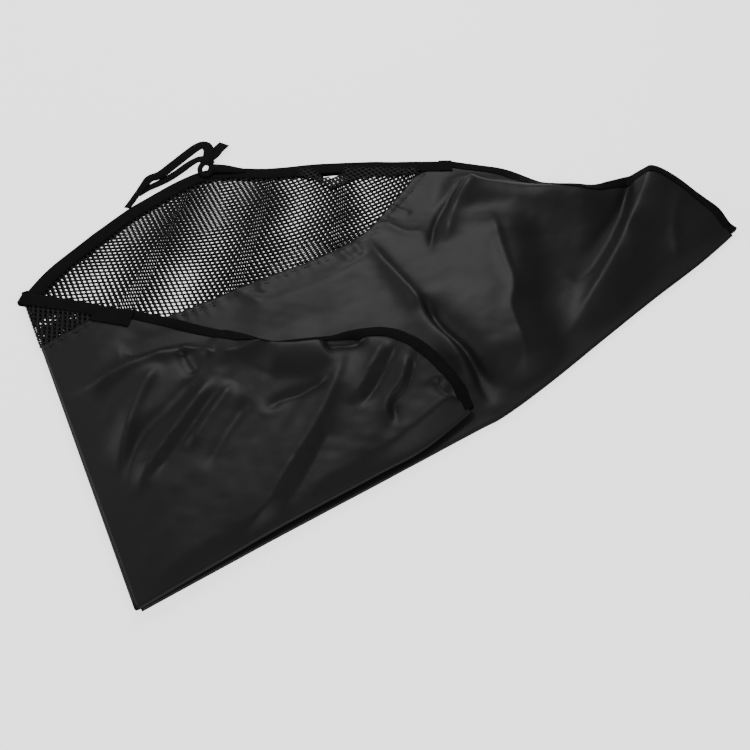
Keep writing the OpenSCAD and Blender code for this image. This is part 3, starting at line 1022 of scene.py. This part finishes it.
def make_rims(finish):
    """The tapes over every rim, and the elastic and draw tape inside them."""
    rims = {
        "back_band_lower": Rim(MESH_RIM, 0, 0.004, 1.0),
        "back_band_upper": Rim(MESH_RIM, 1, 0.004, 1.0),
        "back_binding_lower": Rim(CLOTH_RIM, 0, 0.0, 0.975, shift=LOWER_SHIFT),
        "back_binding_upper": Rim(CLOTH_RIM, 1, 0.0, 0.975),
        "flap_band_inner": Rim(FLAP_MESH_RIM, 2, 0.015, 1.0),
        "flap_band_outer": Rim(FLAP_MESH_RIM, 3, 0.015, 1.0),
        "flap_binding_inner": Rim(FLAP_CLOTH_RIM, 2, 0.0, 0.975),
        "flap_binding_outer": Rim(FLAP_CLOTH_RIM, 3, 0.0, 0.975, rolls=END_ROLLS),
    }
    for name, rim in rims.items():
        kind = "webbing" if "band" in name else "binding"
        body = "deck" if name.startswith("back") else "turned_end"
        width = BINDING_W if kind == "binding" else BAND_W if body == "deck" else END_BAND_W
        tape_over_edge(name.replace("flap", "end") + "_tape", rim, width, finish[kind], body, (name,),
                       0.12 if kind == "binding" else 0.0)
    for layer, body in (("back_elastic_lower", "deck"), ("back_elastic_upper", "deck"),
                        ("flap_elastic_inner", "turned_end"), ("flap_elastic_outer", "turned_end")):
        strip_in_rim(layer.replace("flap", "end") + "_strip", rims[layer.replace("elastic", "binding")],
                     1.8, 6.6, 0.95, 0.7, finish["elastic"], body, (layer,))
    for layer, body, rim in (("back_draw_tape", "deck", "back_band_upper"),
                             ("flap_draw_tape", "turned_end", "flap_band_outer")):
        strip_in_rim(layer.replace("flap", "end") + "_strip", rims[rim], 2.2, 11, 0.95, 0.7, finish["tie"],
                     body, (layer,))
    return rims


def make_hems(cloth):
    """Turned hems under the cloth's edge at the netting."""
    for name, seam, layer, body, share in (
            ("back_hem_lower", SEAM_LINE, 0, "deck", 0.98), ("back_hem_upper", SEAM_LINE, 1, "deck", 0.98),
            ("flap_hem_inner", FLAP_SEAM_LINE, 2, "turned_end", 0.95),
            ("flap_hem_outer", FLAP_SEAM_LINE, 3, "turned_end", 0.95)):
        strip_in_rim(name.replace("flap", "end") + "_fold", Rim(seam, layer, 0.01, share), 0.3, 11,
                     CLOTH_Z - 1.35, 0.5, cloth, body, (name,))


def make_ends(webbing, binding):
    """Turned-over ends of the bands, and the binding round the points."""
    strip_in_rim("back_band_turned_end", Rim(MESH_RIM, 1, 0.972, 1.0), 0.2, BAND_W - 0.6, TAPE_T + 0.1, 0.7,
                 webbing, "deck", ("back_band_end",))
    strip_in_rim("end_band_turned_end", Rim(FLAP_MESH_RIM, 3, 0.68, 1.0), 5.0, 24.0, TAPE_T + 0.1, 0.7,
                 webbing, "turned_end", ("flap_band_end",))
    for name, points, layer, body, node in (
            ("back_point_wrap", CLOTH_RIM, 0, "deck", "back_corner_turn"),
            ("end_corner_wrap", FLAP_CLOTH_RIM, 2, "turned_end", "flap_corner_turn")):
        strip_in_rim(name, Rim(points, layer, 0.955, 0.999), -0.4, BINDING_W - 2, 0.2,
                     2 * LAYER_PITCH - 0.6, binding, body, (node,))


def make_tie(tie):
    """The tie: both sides of its loop, its free tail and its knot."""
    flat_strap("tie_outer_tape",
               [(-333, 196), (-326, 224), (-319, 245), (-314, 256), (-302, 263), (-288, 281),
                (-273, 300), (-260, 315), (-250, 320), (-243, 311), (-242, 297), (-245, 285)],
               (7.4, 5, 4, 3.5, 3.5, 3.5, 4, 5, 6, 7, 7.5, 8),
               (9, 9, 9, 12, 15, 15, 15, 15, 15, 15, 14, 12), tie, None, ("tie_outer_strand",))
    flat_strap("tie_inner_tape",
               [(-325, 226), (-314, 238), (-303, 247), (-292, 256), (-279, 269), (-266, 283), (-254, 292),
                (-248, 293)],
               (2, 2.5, 2, 2, 2.5, 3.5, 5, 6), (8, 10, 11, 12, 12, 12, 11, 10), tie, None,
               ("tie_inner_strand",))
    flat_strap("tie_free_tail", [(-242, 286), (-235, 300), (-230, 315), (-224, 328)], (8, 6, 4, 2),
               (14, 16, 16, 16), tie, "tie_tail", ("tie_tail",))
    flat_strap("tie_knot_wrap",
               [(-238, 282), (-246, 278), (-249, 267), (-244, 258), (-236, 258), (-234, 268)],
               (9, 9.5, 9, 8.5, 8.5, 9), (9, 8, 7, 7, 7, 9), tie, "deck", ("tie_knot",), 2.0)
    flat_strap("tie_knot_turn", [(-256, 290), (-249, 288), (-242, 284), (-234, 280)], (5.5, 9.6, 10, 7),
               (10, 14, 15, 12), tie, "deck", (), 1.4)
    flat_strap("tie_knot_end", [(-238, 270), (-220, 270), (-190, 267)], (8.5, 8, 7), (18, 15, 8), tie,
               "deck", (), 1.2)


def make_stitching(thread, rims):
    for name, body, band, inset, binding, seam, layer in (
            ("deck_stitching", "deck", "back_band_upper", BAND_W - 3, "back_binding_upper", SEAM_LINE, 1),
            ("end_stitching", "turned_end", "flap_band_outer", 14.5, "flap_binding_outer",
             FLAP_SEAM_LINE, 3)):
        stitches(name, [(rims[band], inset, TAPE_T + 0.1), (rims[binding], BINDING_W - 2, TAPE_T + 0.1),
                        (Rim(seam, layer, 0.01, 0.98), 6.0, CLOTH_Z + 0.9)], thread, body)


def main():
    make_camera()
    make_studio()
    finish = make_finishes()
    make_cloth(finish["cloth"], finish["webbing"])
    make_netting(finish["net"])
    rims = make_rims(finish)
    make_hems(finish["cloth"])
    make_ends(finish["webbing"], finish["binding"])
    make_tie(finish["tie"])
    make_stitching(finish["thread"], rims)


main()
bpy.context.view_layer.update()
